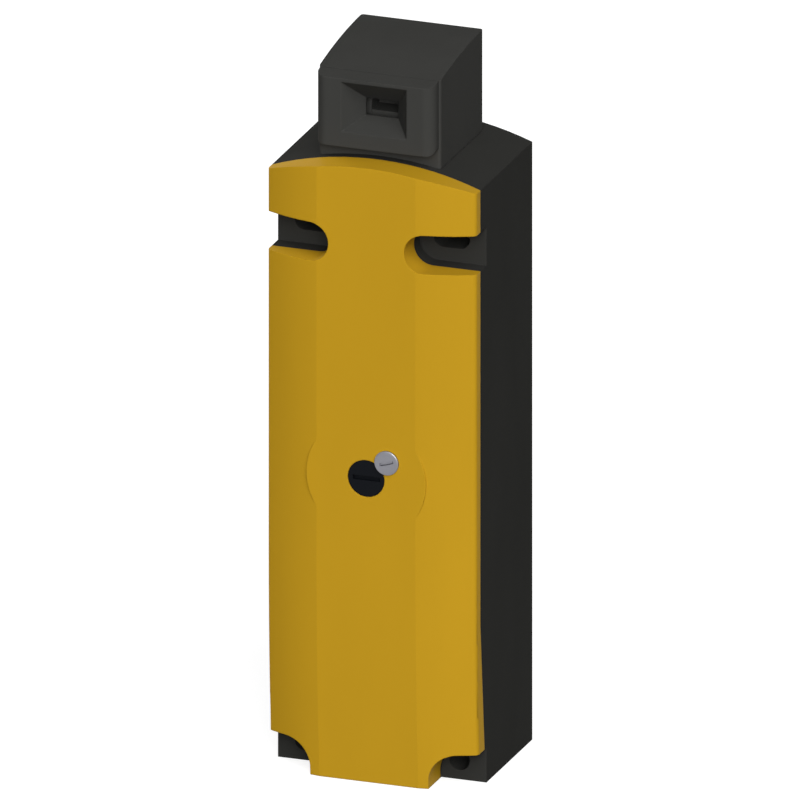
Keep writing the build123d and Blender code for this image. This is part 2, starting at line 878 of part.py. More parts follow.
# Drum: spiral cam between two flanges, with the pocket for the tongue
turn = radians(tongue_turn)
notch_gap = tip_radius + air_gap
low_pitch = pitch_radius - slide_travel
notch_middle = (pi / 2 + atan2(cam_rate, low_pitch)) / 2
rim_reach = sqrt(cam_radius**2 - notch_gap**2)
rim_middle = (turn + 2 * pi - radians(cam_lead_angle)) / 2
lead_point = on_drum(-radians(cam_lead_angle), cam_radius)
spiral_steps = 4
with BuildPart() as drum:
    with BuildSketch(Plane.YZ):
        with BuildLine():
            Line(lead_point, cam_point(0))
            for step in range(0, spiral_steps, 2):
                ThreePointArc(*[cam_point(turn * (step + k) / spiral_steps) for k in range(3)])
            ThreePointArc(
                cam_point(turn),
                on_drum(
                    turn,
                    low_pitch - notch_gap * sin(notch_middle),
                    notch_gap * cos(notch_middle),
                ),
                on_drum(turn, low_pitch, notch_gap),
            )
            Line(on_drum(turn, low_pitch, notch_gap), on_drum(turn, rim_reach, notch_gap))
            ThreePointArc(
                on_drum(turn, rim_reach, notch_gap),
                on_drum(rim_middle, cam_radius),
                lead_point,
            )
        make_face()
        with Locations((mechanism_y - pocket_back, drum_z + pocket_floor)):
            Rectangle(
                drum_radius, pocket_height, align=(Align.MAX, Align.MIN), mode=Mode.SUBTRACT
            )
    extrude(amount=cam_half_width, both=True)
    for side in (-1, 1):
        with BuildSketch(Plane.YZ.offset(side * cam_half_width)):
            with Locations((mechanism_y, drum_z)):
                Circle(drum_radius)
        extrude(amount=side * flange_thickness)
    with BuildSketch(Plane.YZ):
        with Locations((mechanism_y, drum_z)):
            Circle(axle_radius + running_gap)
    extrude(amount=drum_half_width, both=True, mode=Mode.SUBTRACT)
save(drum, "drum")

# Guide bush and plunger
with BuildPart() as guide_bush:
    with BuildSketch(Plane.XY.offset(seat_z)):
        with Locations((0, mechanism_y)):
            Circle(bush_radius)
    extrude(amount=-seat_pad_depth)
    with BuildSketch(Plane.XY.offset(seat_z - seat_pad_depth)):
        with Locations((0, mechanism_y)):
            Circle(bush_flange_radius)
    extrude(amount=-bush_flange)
    with BuildSketch(Plane.XY.offset(seat_z)):
        with Locations((0, mechanism_y)):
            Circle(plunger_radius + running_gap)
    extrude(amount=-(seat_pad_depth + bush_flange), mode=Mode.SUBTRACT)
save(guide_bush, "guide_bush")

with BuildPart() as plunger:
    for radius, low, high in (
        (plunger_hook_radius, plunger_hook_z, plunger_hook_z + plunger_hook_height),
        (plunger_neck_radius, plunger_hook_z, plunger_base_z),
        (plunger_radius, plunger_base_z, plunger_shoulder_z),
    ):
        with BuildSketch(Plane.XY.offset(low)):
            with Locations((0, mechanism_y)):
                Circle(radius)
        extrude(amount=high - low)
    with BuildSketch(Plane.YZ):
        with Locations((mechanism_y, tip_z)):
            Circle(tip_radius)
        with Locations((mechanism_y, plunger_shoulder_z)):
            Rectangle(
                2 * tip_radius, tip_z - plunger_shoulder_z, align=(Align.CENTER, Align.MIN)
            )
    extrude(amount=tip_half_width, both=True)
save(plunger, "plunger")

# Slide with its hooked top, crossbar, notched leg and foot
nose_x = leg_inner_x + air_gap
nose_bottom = bar_z - bar_height / 2
nose_shoulder = nose_bottom + nose_face
ramp = slide_travel / bar_travel
notch_left_x = nose_x - bar_travel - air_gap - slide_gap
notch_floor = nose_bottom - slide_travel - air_gap
ramp_lift = (air_gap + running_gap) * sqrt(1 + ramp**2)


def ramp_height(x):
    """Height of the notch's slanted shoulder in the resting slide."""
    return nose_shoulder - slide_travel + ramp_lift + (x - nose_x + bar_travel) * ramp


with BuildPart() as slide:
    with BuildSketch(front_plane(mechanism_y + slide_thickness / 2)):
        with Locations((0, crossbar_bottom)):
            Rectangle(
                2 * stem_half_width,
                plunger_base_z - crossbar_bottom,
                align=(Align.CENTER, Align.MIN),
            )
        with Locations((leg_outer_x, crossbar_bottom)):
            Rectangle(
                stem_half_width - leg_outer_x,
                crossbar_top - crossbar_bottom,
                align=(Align.MIN, Align.MIN),
            )
        with Locations((leg_outer_x, slide_foot_bottom)):
            Rectangle(
                leg_width, crossbar_top - slide_foot_bottom, align=(Align.MIN, Align.MIN)
            )
            Rectangle(
                slide_foot_end_x - leg_outer_x,
                slide_foot_top - slide_foot_bottom,
                align=(Align.MIN, Align.MIN),
            )
        with BuildLine():
            Polyline(
                (notch_left_x, notch_floor),
                (notch_left_x, ramp_height(notch_left_x)),
                (leg_inner_x + slide_gap, ramp_height(leg_inner_x + slide_gap)),
                (leg_inner_x + slide_gap, notch_floor),
                close=True,
            )
        make_face(mode=Mode.SUBTRACT)
    extrude(amount=slide_thickness)
    # slot that the plunger's hook slides into from the front
    hook_top = plunger_hook_z + plunger_hook_height + slide_gap
    hook_back = mechanism_y + slide_gap
    with Locations((0, hook_back + plunger_neck_radius, plunger_hook_z)):
        Box(
            2 * (plunger_neck_radius + slide_gap),
            slide_thickness,
            plunger_base_z - plunger_hook_z,
            align=(Align.CENTER, Align.MAX, Align.MIN),
            mode=Mode.SUBTRACT,
        )
    with Locations((0, hook_back + plunger_hook_radius, plunger_hook_z - slide_gap)):
        Box(
            2 * (plunger_hook_radius + slide_gap),
            slide_thickness,
            hook_top - plunger_hook_z + slide_gap,
            align=(Align.CENTER, Align.MAX, Align.MIN),
            mode=Mode.SUBTRACT,
        )
save(slide, "slide")

coil_spring(
    "slide_spring",
    (slide_spring_x, mechanism_y, shelf_top),
    (0, 0, 1),
    crossbar_bottom - shelf_top,
    slide_spring_radius,
    slide_wire,
    4,
)

# Lock bar: nose, lug for the release leaf, arm with the slanted monitor slot
arm_left_x = lug_left_x
pin_gap = monitor_pin_radius + air_gap
slot_run = bar_travel
slot_angle = degrees(asin(monitor_travel / sqrt(slot_run**2 + monitor_travel**2)))
slot_length = sqrt(slot_run**2 + monitor_travel**2)
slot_middle = (monitor_pin_x + slot_run / 2, monitor_pin_z + monitor_travel / 2)
arm_back_y = mechanism_y + bar_thickness / 2
with BuildPart() as lock_bar:
    with BuildSketch(front_plane(mechanism_y + bar_thickness / 2)):
        with BuildLine():
            Polyline(
                (nose_x, nose_bottom),
                (bar_end_x, nose_bottom),
                (bar_end_x, nose_bottom + bar_height),
                (nose_x + (bar_height - nose_face) / ramp, nose_bottom + bar_height),
                (nose_x, nose_shoulder),
                close=True,
            )
        make_face()
    extrude(amount=bar_thickness)
    with BuildSketch(Plane.YZ.offset(bar_end_x)):
        with Locations((mechanism_y, bar_z)):
            Circle(spigot_radius)
    extrude(amount=spigot_length)
    with Locations((lug_left_x, mechanism_y, nose_bottom)):
        Box(
            lug_width,
            bar_thickness / 2 + lug_reach,
            bar_height,
            align=(Align.MIN, Align.MAX, Align.MIN),
        )
    with BuildSketch(front_plane(arm_back_y)):
        with Locations((arm_left_x, monitor_pin_z + monitor_travel)):
            Rectangle(
                arm_width,
                bar_z - monitor_pin_z - monitor_travel,
                align=(Align.MIN, Align.MIN),
            )
        with Locations(slot_middle):
            SlotCenterToCenter(slot_length, 2 * (pin_gap + slot_wall), rotation=slot_angle)
            SlotCenterToCenter(slot_length, 2 * pin_gap, rotation=slot_angle, mode=Mode.SUBTRACT)
    extrude(amount=arm_thickness)
save(lock_bar, "lock_bar")

# Link spring between bar and armature
coil_spring(
    "link_spring",
    (bar_end_x + slide_gap, mechanism_y, bar_z),
    (1, 0, 0),
    armature_left_x - bar_end_x - 2 * slide_gap,
    spigot_radius + 2 * running_gap + link_wire,
    link_wire,
    4,
)

# Solenoid yoke, core, bobbin, winding and armature
core_left_x = armature_right_x + armature_stroke + air_gap
bobbin_left_x = yoke_left_x + yoke_plate
bobbin_right_x = yoke_right_x - yoke_plate
bobbin_bore = armature_radius + slide_gap
yoke_middle_x = (yoke_left_x + yoke_right_x) / 2
solenoid_screw_points = [
    (yoke_middle_x, bar_z + side * solenoid_screw_reach) for side in (-1, 1)
]
with BuildPart() as solenoid_yoke:
    with BuildSketch(Plane.YZ.offset(yoke_left_x)):
        with Locations((mechanism_y, bar_z)):
            Rectangle(2 * yoke_half_depth, yoke_height)
            Circle(armature_radius + slide_gap, mode=Mode.SUBTRACT)
    extrude(amount=yoke_plate)
    with BuildSketch(Plane.YZ.offset(bobbin_right_x)):
        with Locations((mechanism_y, bar_z)):
            Rectangle(2 * yoke_half_depth, yoke_height)
            Circle(armature_radius, mode=Mode.SUBTRACT)
    extrude(amount=yoke_plate)
    with BuildSketch(front_plane(mechanism_y + yoke_half_depth)):
        with Locations((yoke_middle_x, bar_z)):
            Rectangle(yoke_right_x - yoke_left_x, yoke_height)
        with Locations(*solenoid_screw_points):
            small_round(screw_radius, Mode.SUBTRACT)
    extrude(amount=yoke_plate)
save(solenoid_yoke, "solenoid_yoke")

with BuildPart() as fixed_core:
    with BuildSketch(Plane.YZ.offset(core_left_x)):
        with Locations((mechanism_y, bar_z)):
            Circle(armature_radius)
    extrude(amount=yoke_right_x - core_left_x)
save(fixed_core, "fixed_core")

with BuildPart() as coil_terminals:
    with BuildSketch(front_plane(mechanism_y - winding_radius)):
        for side in (-1, 1):
            pin_z = bar_z + side * terminal_pin_reach
            with Locations((bobbin_right_x - bobbin_flange / 2, pin_z)):
                Rectangle(terminal_pin, terminal_pin)
    extrude(amount=terminal_pin_length, both=True)
save(coil_terminals, "coil_terminals")

with BuildPart() as coil_bobbin:
    with BuildSketch(Plane.YZ.offset(bobbin_left_x)):
        with Locations((mechanism_y, bar_z)):
            Circle(bobbin_bore + bobbin_tube)
    extrude(amount=bobbin_right_x - bobbin_left_x)
    for flange_x in (bobbin_left_x, bobbin_right_x - bobbin_flange):
        with BuildSketch(Plane.YZ.offset(flange_x)):
            with Locations((mechanism_y, bar_z)):
                Rectangle(2 * bobbin_flange_radius, 2 * bobbin_flange_radius)
        extrude(amount=bobbin_flange)
    with BuildSketch(Plane.YZ.offset(bobbin_left_x)):
        with Locations((mechanism_y, bar_z)):
            Circle(bobbin_bore)
    extrude(amount=bobbin_right_x - bobbin_left_x, mode=Mode.SUBTRACT)
    add(coil_terminals.part, mode=Mode.SUBTRACT)
save(coil_bobbin, "coil_bobbin")

with BuildPart() as coil_winding:
    with BuildSketch(Plane.YZ.offset(bobbin_left_x + bobbin_flange)):
        with Locations((mechanism_y, bar_z)):
            Circle(winding_radius)
            Circle(bobbin_bore + bobbin_tube, mode=Mode.SUBTRACT)
    extrude(amount=bobbin_right_x - bobbin_left_x - 2 * bobbin_flange)
save(coil_winding, "coil_winding")

with BuildPart() as armature:
    with BuildSketch(Plane.YZ.offset(armature_left_x)):
        with Locations((mechanism_y, bar_z)):
            Circle(armature_radius)
    extrude(amount=armature_right_x - armature_left_x)
    with BuildSketch(Plane.YZ.offset(armature_left_x)):
        with Locations((mechanism_y, bar_z)):
            Circle(spigot_radius)
    extrude(amount=-spigot_length)
    with BuildSketch(Plane.YZ.offset(armature_right_x)):
        with Locations((mechanism_y, bar_z)):
            Circle(armature_bore_radius)
    extrude(amount=-armature_bore_depth, mode=Mode.SUBTRACT)
save(armature, "armature")

coil_spring(
    "armature_spring",
    (armature_right_x - armature_bore_depth, mechanism_y, bar_z),
    (1, 0, 0),
    armature_bore_depth + core_left_x - armature_right_x,
    armature_bore_radius - link_wire,
    link_wire,
    4,
)

# Chassis: plate, bar guide, leg guides, spring shelf and leaf post
bar_half = bar_height / 2 + slide_gap
bar_front_y = mechanism_y - bar_thickness / 2
leg_back_y = mechanism_y + slide_thickness / 2 + air_gap
keeper_points = [
    ((guide_left_x + keeper_right_x) / 2, bar_z + side * (bar_half + guide_half_height) / 2)
    for side in (-1, 1)
]
with BuildPart() as chassis:
    with BuildSketch(front_plane(chassis_back_y)):
        with Locations((0, chassis_bottom)):
            Rectangle(
                2 * chassis_half_width,
                chassis_top - chassis_bottom,
                align=(Align.CENTER, Align.MIN),
            )
        with Locations(*chassis_screw_points, *solenoid_screw_points):
            small_round(screw_radius, Mode.SUBTRACT)
    extrude(amount=chassis_thickness)
    with BuildSketch(front_plane(chassis_y)):
        with Locations((guide_left_x, bar_z)):
            Rectangle(
                guide_right_x - guide_left_x,
                2 * guide_half_height,
                align=(Align.MIN, Align.CENTER),
            )
    extrude(amount=chassis_y - bar_front_y + slide_gap)
    with BuildSketch(front_plane(bar_front_y + keeper_screw_bite)):
        with Locations(*keeper_points):
            small_round(keeper_screw_radius)
    extrude(amount=2 * keeper_screw_bite, mode=Mode.SUBTRACT)
    with Locations((guide_left_x, mechanism_y + bar_thickness / 2 + slide_gap, bar_z)):
        Box(
            guide_right_x - guide_left_x,
            depth,
            2 * bar_half,
            align=(Align.MIN, Align.MAX, Align.CENTER),
            mode=Mode.SUBTRACT,
        )
    with Locations((keeper_right_x, mechanism_y + bar_thickness / 2 + slide_gap, bar_z)):
        Box(
            guide_right_x - keeper_right_x,
            depth,
            2 * guide_half_height,
            align=(Align.MIN, Align.MAX, Align.MAX),
            mode=Mode.SUBTRACT,
        )
    # shelf under the slide's spring
    with BuildSketch(front_plane(chassis_y)):
        with Locations((slide_spring_x, shelf_top)):
            Rectangle(
                2 * (slide_spring_radius + 1), shelf_thickness, align=(Align.CENTER, Align.MAX)
            )
    extrude(amount=chassis_y - mechanism_y + slide_spring_radius + 1)
    # guides that hold the slide's leg
    for guide_z in leg_guide_heights:
        with BuildSketch(Plane.XY.offset(guide_z - leg_guide_length / 2)):
            with Locations((-chassis_half_width, chassis_y)):
                Rectangle(
                    chassis_half_width + leg_inner_x + air_gap + guide_cheek,
                    chassis_y - mechanism_y + slide_thickness / 2,
                    align=(Align.MIN, Align.MAX),
                )
            with Locations((leg_outer_x - air_gap, leg_back_y)):
                Rectangle(
                    leg_width + 2 * air_gap, depth, align=(Align.MIN, Align.MAX), mode=Mode.SUBTRACT
                )
        extrude(amount=leg_guide_length)
    # post that holds the leaf's foot
    with BuildSketch(front_plane(chassis_y)):
        with Locations((leaf_x - leaf_thickness / 2 - leaf_post_wall, chassis_bottom)):
            Rectangle(
                leaf_thickness + 4 * leaf_post_wall,
                leaf_post_wall + leaf_foot,
                align=(Align.MIN, Align.MIN),
            )
    extrude(amount=chassis_y - leaf_front_y)
    with Locations((leaf_x, leaf_back_y, leaf_foot_z)):
        Box(
            leaf_thickness,
            depth,
            depth,
            align=(Align.CENTER, Align.MAX, Align.MIN),
            mode=Mode.SUBTRACT,
        )
save(chassis, "chassis")

with BuildPart() as bar_keeper:
    with BuildSketch(front_plane(bar_front_y - slide_gap)):
        with Locations((guide_left_x, bar_z)):
            Rectangle(
                keeper_right_x - guide_left_x,
                2 * guide_half_height,
                align=(Align.MIN, Align.CENTER),
            )
        with Locations(*keeper_points):
            small_round(keeper_screw_radius, Mode.SUBTRACT)
    extrude(amount=keeper_thickness)
save(bar_keeper, "bar_keeper")

back_plane = Plane(origin=(0, chassis_back_y, 0), x_dir=(-1, 0, 0), z_dir=(0, 1, 0))
screw_set(
    "keeper_screws",
    front_plane(bar_front_y - slide_gap - keeper_thickness),
    keeper_points,
    2 * keeper_screw_radius,
    keeper_screw_radius,
    keeper_thickness + keeper_screw_bite,
    keeper_screw_radius,
)
screw_set(
    "solenoid_screws",
    back_plane,
    [(-x, z) for x, z in solenoid_screw_points],
    screw_head_radius,
    screw_head_height,
    chassis_thickness + yoke_plate,
)
screw_set(
    "chassis_screws",
    front_plane(chassis_y),
    chassis_screw_points,
    screw_head_radius,
    screw_head_height,
    chassis_thickness + boss_height + wall / 2,
)
screw_set(
    "block_screws",
    front_plane(block_front_y),
    block_screw_points,
    screw_head_radius,
    screw_head_height,
    back_y - wall / 2 - block_front_y,
)


def contact_height(bridge_z, travel):
    """Underside of the fixed contact strip above a bridge."""
    return bridge_z + bridge_thickness + 2 * contact_button + air_gap + travel


def contact_block(tag, x, travel):
    """Housing, fixed contacts, clamps, terminal screws, bridges and springs of one block."""
    sides = (-contact_x, contact_x)
    strip_heights = [contact_height(z, travel) for z in bridge_heights]
    strip_back_y = mechanism_y + contact_radius + wall / 2
    terminals = [(x + side, z + terminal_screw_rise) for side in sides for z in strip_heights]
    carrier_half = carrier_depth / 2

    with BuildPart() as contacts:
        for side in sides:
            for strip_z in strip_heights:
                with Locations((x + side, block_front_y - strip_thickness, strip_z)):
                    Box(
                        contact_width,
                        strip_back_y - block_front_y + strip_thickness,
                        strip_thickness,
                        align=(Align.CENTER, Align.MIN, Align.MIN),
                    )
                    Box(
                        contact_width,
                        strip_thickness,
                        terminal_rise,
                        align=(Align.CENTER, Align.MIN, Align.MIN),
                    )
                with BuildSketch(Plane.XY.offset(strip_z)):
                    with Locations((x + side, mechanism_y)):
                        small_round(contact_radius)
                extrude(amount=-contact_button)
        with BuildSketch(front_plane(block_front_y)):
            with Locations(*terminals):
                small_round(terminal_screw_radius)
        extrude(amount=strip_thickness, mode=Mode.SUBTRACT)
    save(contacts, f"contacts_{tag}")

    with BuildPart() as clamps:
        with BuildSketch(front_plane(block_front_y - strip_thickness)):
            with Locations(*terminals):
                Rectangle(clamp_size, clamp_size)
                small_round(terminal_screw_radius, Mode.SUBTRACT)
        extrude(amount=clamp_thickness)
    save(clamps, f"clamps_{tag}")

    screw_set(
        f"terminal_screws_{tag}",
        front_plane(block_front_y - strip_thickness - clamp_thickness),
        terminals,
        terminal_head_radius,
        terminal_head_height,
        strip_thickness + clamp_thickness + terminal_screw_bite,
        terminal_screw_radius,
    )

    with BuildPart() as housing:
        with BuildSketch(Plane.XY.offset(block_bottom)):
            with Locations((x, block_front_y)):
                Rectangle(
                    block_width, inner_back_y - block_front_y, align=(Align.CENTER, Align.MIN)
                )
        extrude(amount=block_top - block_bottom)
        chamfer(housing.edges().filter_by(Axis.Z), block_chamfer)
        # channel for the carrier and chambers for the bridges
        with BuildSketch(Plane.XY.offset(channel_bottom)):
            with Locations((x, mechanism_y)):
                Rectangle(carrier_width + 2 * air_gap, carrier_depth + 2 * air_gap)
        extrude(amount=block_top, mode=Mode.SUBTRACT)
        for bridge_z, strip_z in zip(bridge_heights, strip_heights):
            with BuildSketch(Plane.XY.offset(bridge_z - bridge_thickness)):
                with Locations((x, mechanism_y)):
                    Rectangle(2 * chamber_half_width, carrier_depth + 2 * air_gap)
            extrude(amount=strip_z - bridge_z + bridge_thickness, mode=Mode.SUBTRACT)
        add(contacts.part, mode=Mode.SUBTRACT)
        with BuildSketch(front_plane(block_front_y + terminal_screw_bite)):
            with Locations(*terminals):
                small_round(terminal_screw_radius)
        extrude(amount=terminal_screw_bite, mode=Mode.SUBTRACT)
        with BuildSketch(front_plane(inner_back_y)):
            with Locations((x - contact_x, block_screw_z), (x + contact_x, block_screw_z)):
                small_round(screw_radius)
        extrude(amount=depth, mode=Mode.SUBTRACT)
    save(housing, f"block_{tag}")

    with BuildPart() as bridges:
        for bridge_z in bridge_heights:
            with BuildSketch(Plane.XY.offset(bridge_z)):
                with Locations((x, mechanism_y)):
                    Rectangle(2 * bridge_half_length, bridge_depth)
            extrude(amount=bridge_thickness)
            with BuildSketch(Plane.XY.offset(bridge_z + bridge_thickness)):
                with Locations((x - contact_x, mechanism_y), (x + contact_x, mechanism_y)):
                    small_round(contact_radius)
            extrude(amount=contact_button)
    save(bridges, f"bridges_{tag}")

    with BuildPart() as leaves:
        foot_x = carrier_width / 2 - running_gap
        crown_x = foot_x / 3
        half_leaf = spring_leaf_thickness / 2
        for bridge_z in bridge_heights:
            foot_z = bridge_z + bridge_thickness - window_height + half_leaf
            crown_z = bridge_z - half_leaf
            with BuildSketch(front_plane(mechanism_y + bridge_depth / 2 - slide_gap)):
                with BuildLine():
                    Polyline(
                        (x - foot_x, foot_z),
                        (x - 2 * crown_x, foot_z),
                        (x - crown_x, crown_z),
                        (x + crown_x, crown_z),
                        (x + 2 * crown_x, foot_z),
                        (x + foot_x, foot_z),
                    )
                trace(line_width=spring_leaf_thickness)
            extrude(amount=bridge_depth - 2 * slide_gap)
    save(leaves, f"bridge_springs_{tag}")

    coil_spring(
        f"carrier_spring_{tag}",
        (x, mechanism_y, channel_bottom),
        (0, 0, 1),
        carrier_bottom - channel_bottom,
        carrier_spring_radius,
        carrier_wire,
        3,
    )


def carrier_column(x):
    """Sliding column with a window for each bridge and its leaf spring."""
    with BuildPart() as column:
        with BuildSketch(Plane.XY.offset(carrier_bottom)):
            with Locations((x, mechanism_y)):
                Rectangle(carrier_width, carrier_depth)
        extrude(amount=slide_foot_bottom - carrier_bottom)
        for bridge_z in bridge_heights:
            with Locations((x, mechanism_y, bridge_z + bridge_thickness)):
                Box(
                    carrier_width,
                    bridge_depth,
                    window_height,
                    align=(Align.CENTER, Align.CENTER, Align.MAX),
                    mode=Mode.SUBTRACT,
                )
    return column.part


contact_block("a", -block_x, slide_travel)
contact_block("b", block_x, monitor_travel)

with BuildPart() as carrier_a:
    add(carrier_column(-block_x))
save(carrier_a, "carrier_a")

# Second carrier, with the crossbar and the pin that the lock bar's slot lifts
carrier_front_y = mechanism_y - carrier_depth / 2
with BuildPart() as carrier_b:
    add(carrier_column(block_x))
    with Locations((crossbar_left_x, mechanism_y, slide_foot_bottom)):
        Box(
            block_x + carrier_width / 2 - crossbar_left_x,
            carrier_depth,
            crossbar_height,
            align=(Align.MIN, Align.CENTER, Align.MIN),
        )
    with Locations((monitor_pin_x, carrier_front_y, slide_foot_bottom)):
        Box(
            riser_width,
            riser_depth,
            monitor_pin_z + riser_width / 2 - slide_foot_bottom,
            align=(Align.CENTER, Align.MIN, Align.MIN),
        )
    with BuildSketch(front_plane(carrier_front_y + riser_depth)):
        with Locations((monitor_pin_x, monitor_pin_z)):
            Circle(monitor_pin_radius)
    extrude(amount=-(arm_thickness + 2 * air_gap))
save(carrier_b, "carrier_b")
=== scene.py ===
import json
import math

import bmesh
import bpy
from mathutils import Matrix, Vector


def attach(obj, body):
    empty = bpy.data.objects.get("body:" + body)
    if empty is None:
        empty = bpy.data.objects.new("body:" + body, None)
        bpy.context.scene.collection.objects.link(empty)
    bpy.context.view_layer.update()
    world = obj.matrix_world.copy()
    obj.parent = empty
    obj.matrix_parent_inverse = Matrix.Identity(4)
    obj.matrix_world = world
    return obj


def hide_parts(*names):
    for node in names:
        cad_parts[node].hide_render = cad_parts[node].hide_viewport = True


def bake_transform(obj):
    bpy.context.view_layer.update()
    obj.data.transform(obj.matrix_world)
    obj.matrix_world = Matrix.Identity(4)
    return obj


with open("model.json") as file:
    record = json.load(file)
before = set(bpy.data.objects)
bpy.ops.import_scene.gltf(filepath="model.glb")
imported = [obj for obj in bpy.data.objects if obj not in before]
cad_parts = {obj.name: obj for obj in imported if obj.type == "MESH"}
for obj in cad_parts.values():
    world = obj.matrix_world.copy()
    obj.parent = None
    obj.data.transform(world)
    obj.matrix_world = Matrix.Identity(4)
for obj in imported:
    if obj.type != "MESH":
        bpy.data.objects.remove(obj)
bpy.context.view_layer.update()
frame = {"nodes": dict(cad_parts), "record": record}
nodes = frame["nodes"]
slot_of = {row["node"]: row["material_slot"] for row in frame["record"]["subparts"]}

MM = 0.001

# Smallest divisor, and the distance in metres within which vertices are one
TINY = 0.001
SAME_PLACE = 1e-7

# Directions
INTO_BACK = (0, 1, 0)
INTO_FRONT = (0, -1, 0)
UPWARDS = (0, 0, 1)
RIGHTWARDS = (1, 0, 0)

# Sockets of a Mix node that carry colours
MIX_FIRST = 6
MIX_SECOND = 7
MIX_RESULT = 2

# Cosine between true and rounded normal at which an edge counts in full
EDGE_COSINE = 0.86
BEVEL_SAMPLES = 4

# Plastic
PLASTIC_IOR = 1.47
FLOW_MARKS = {"scale": 38.0, "detail": 4.0, "roughness": 0.55, "stretch": (1.0, 1.0, 0.35)}
SPECK_SHARE = 1.9
# Lighter colour along the edges: partly worn plastic, partly painted highlight
EDGE_WEAR_AND_HIGHLIGHT_LIGHTER = 1.9
GRAIN_BUMP = 0.35
PLASTIC_SPREAD = 0.07

# Metal
SCRATCHES = 700.0
STAINS = 90.0
STAIN_DARKER = 0.86
STAIN_LIGHTER = 1.08
# Painted highlight: metal colour lighter along every edge
METAL_EDGE_HIGHLIGHT_LIGHTER = 1.5
METAL_EDGE_HIGHLIGHT_SHARE = 0.5
SCRATCH_BUMP = 0.25
SCRATCH_DEPTH = 0.02
METAL_SMOOTHER = 0.1
METAL_ROUGHER = 0.12

# Winding
WIRE_BANDS = {"Scale": 1150.0, "Distortion": 0.4, "Detail": 1.0}
# Painted shade: colour share in the grooves between turns of wire
SHADE_BETWEEN_TURNS = 0.35
ENAMEL_METALLIC = 0.85
ENAMEL_COAT = 0.4

# Rubber
RUBBER_EDGE = 0.2
DUST_LIGHTER = 2.2

# Smooth shading breaks at edges sharper than this, in degrees
SHARP_ANGLE = 34

# Screw head, as shares of its height or radius
DOME_SHARE = 0.3
RECESS_SHARE = 0.75
RECESS_FLOOR_SHARE = 0.8
DRIVER_LENGTH_SHARE = 0.62
DRIVER_WIDTH_SHARE = 0.13
DOME_RINGS = (0.7, 0.85, 0.95)
BRIM_SHARE = 0.08
UNDERSIDE_SHARE = 0.94
UNDERSIDE_RADIUS_SHARE = 0.97

# Screw thread, as shares of its radius
NECK_SHARE = 0.86
ROOT_SHARE = 0.8
RIDGE_SHARE = 0.2
TURNS_PER_RADIUS = 3
SLICES_PER_TURN = 4
FADING_SLICES = 8
SCREW_SIDES = 40

# Driver recess of each screw in a node, turned on from the one before, in radians
FIRST_TWIST = 0.5
NEXT_TWIST = 0.7

# Head radius, head height and thread radius of each screw size, in millimetres
SEAL_SCREW = (3.1, 0.8, 1.5)
CASE_SCREW = (2.7, 2.0, 1.5)
KEEPER_SCREW = (1.6, 0.8, 0.8)
TERMINAL_SCREW = (2.4, 1.8, 1.0)

# Coil springs
WIRE_SIDES = 10
COIL_STEPS = 36
CLOSED_TURNS = 0.8
WIRE_INSET = 0.71

# Cable entry, in millimetres as in the CAD model
ENTRY_Y = 5.9
ENTRY_RADIUS = 9.25
ENTRY_HEIGHT = 10.0
ENTRY_PITCH = 1.5
RIDGE_HEIGHT = 0.42
RIDGE_FOOT = 0.55
RIDGE_CREST = 0.1
ENTRY_STEPS = 48

# Camera angles in degrees, and the middle of the view in millimetres right, up and towards it
CAMERA_AZIMUTH = 20
CAMERA_ELEVATION = 20
VIEW_RIGHT = 0.87
VIEW_UP = 86.7
VIEW_TOWARDS = 31.5
VIEW_SIZE = 0.1947
CAMERA_DISTANCE = 1.2

# Floor, in metres
FLOOR_GAP = 0.0001
FLOOR_REACH = 6

# Greys and strengths that bounced light meets, and those that the camera sees
FLOOR_BOUNCED = (0.08, 0.08, 0.08, 1.0)
FLOOR_SEEN = (0.4, 0.4, 0.4, 1.0)
FLOOR_GLOW = 0.8
FLOOR_ROUGHNESS = 0.9
SKY_BOUNCED = 0.12
SKY_SEEN = 1.0
WHITE = (1.0, 1.0, 1.0, 1.0)


# Materials
def srgb(red, green, blue):
    """Linear colour of an 8-bit screen colour."""
    linear = []
    for value in (red, green, blue):
        level = value / 255
        linear.append(level / 12.92 if level <= 0.04045 else ((level + 0.055) / 1.055) ** 2.4)
    return (*linear, 1.0)


def scaled(colour, factor):
    return (*[min(1.0, part * factor) for part in colour[:3]], 1.0)


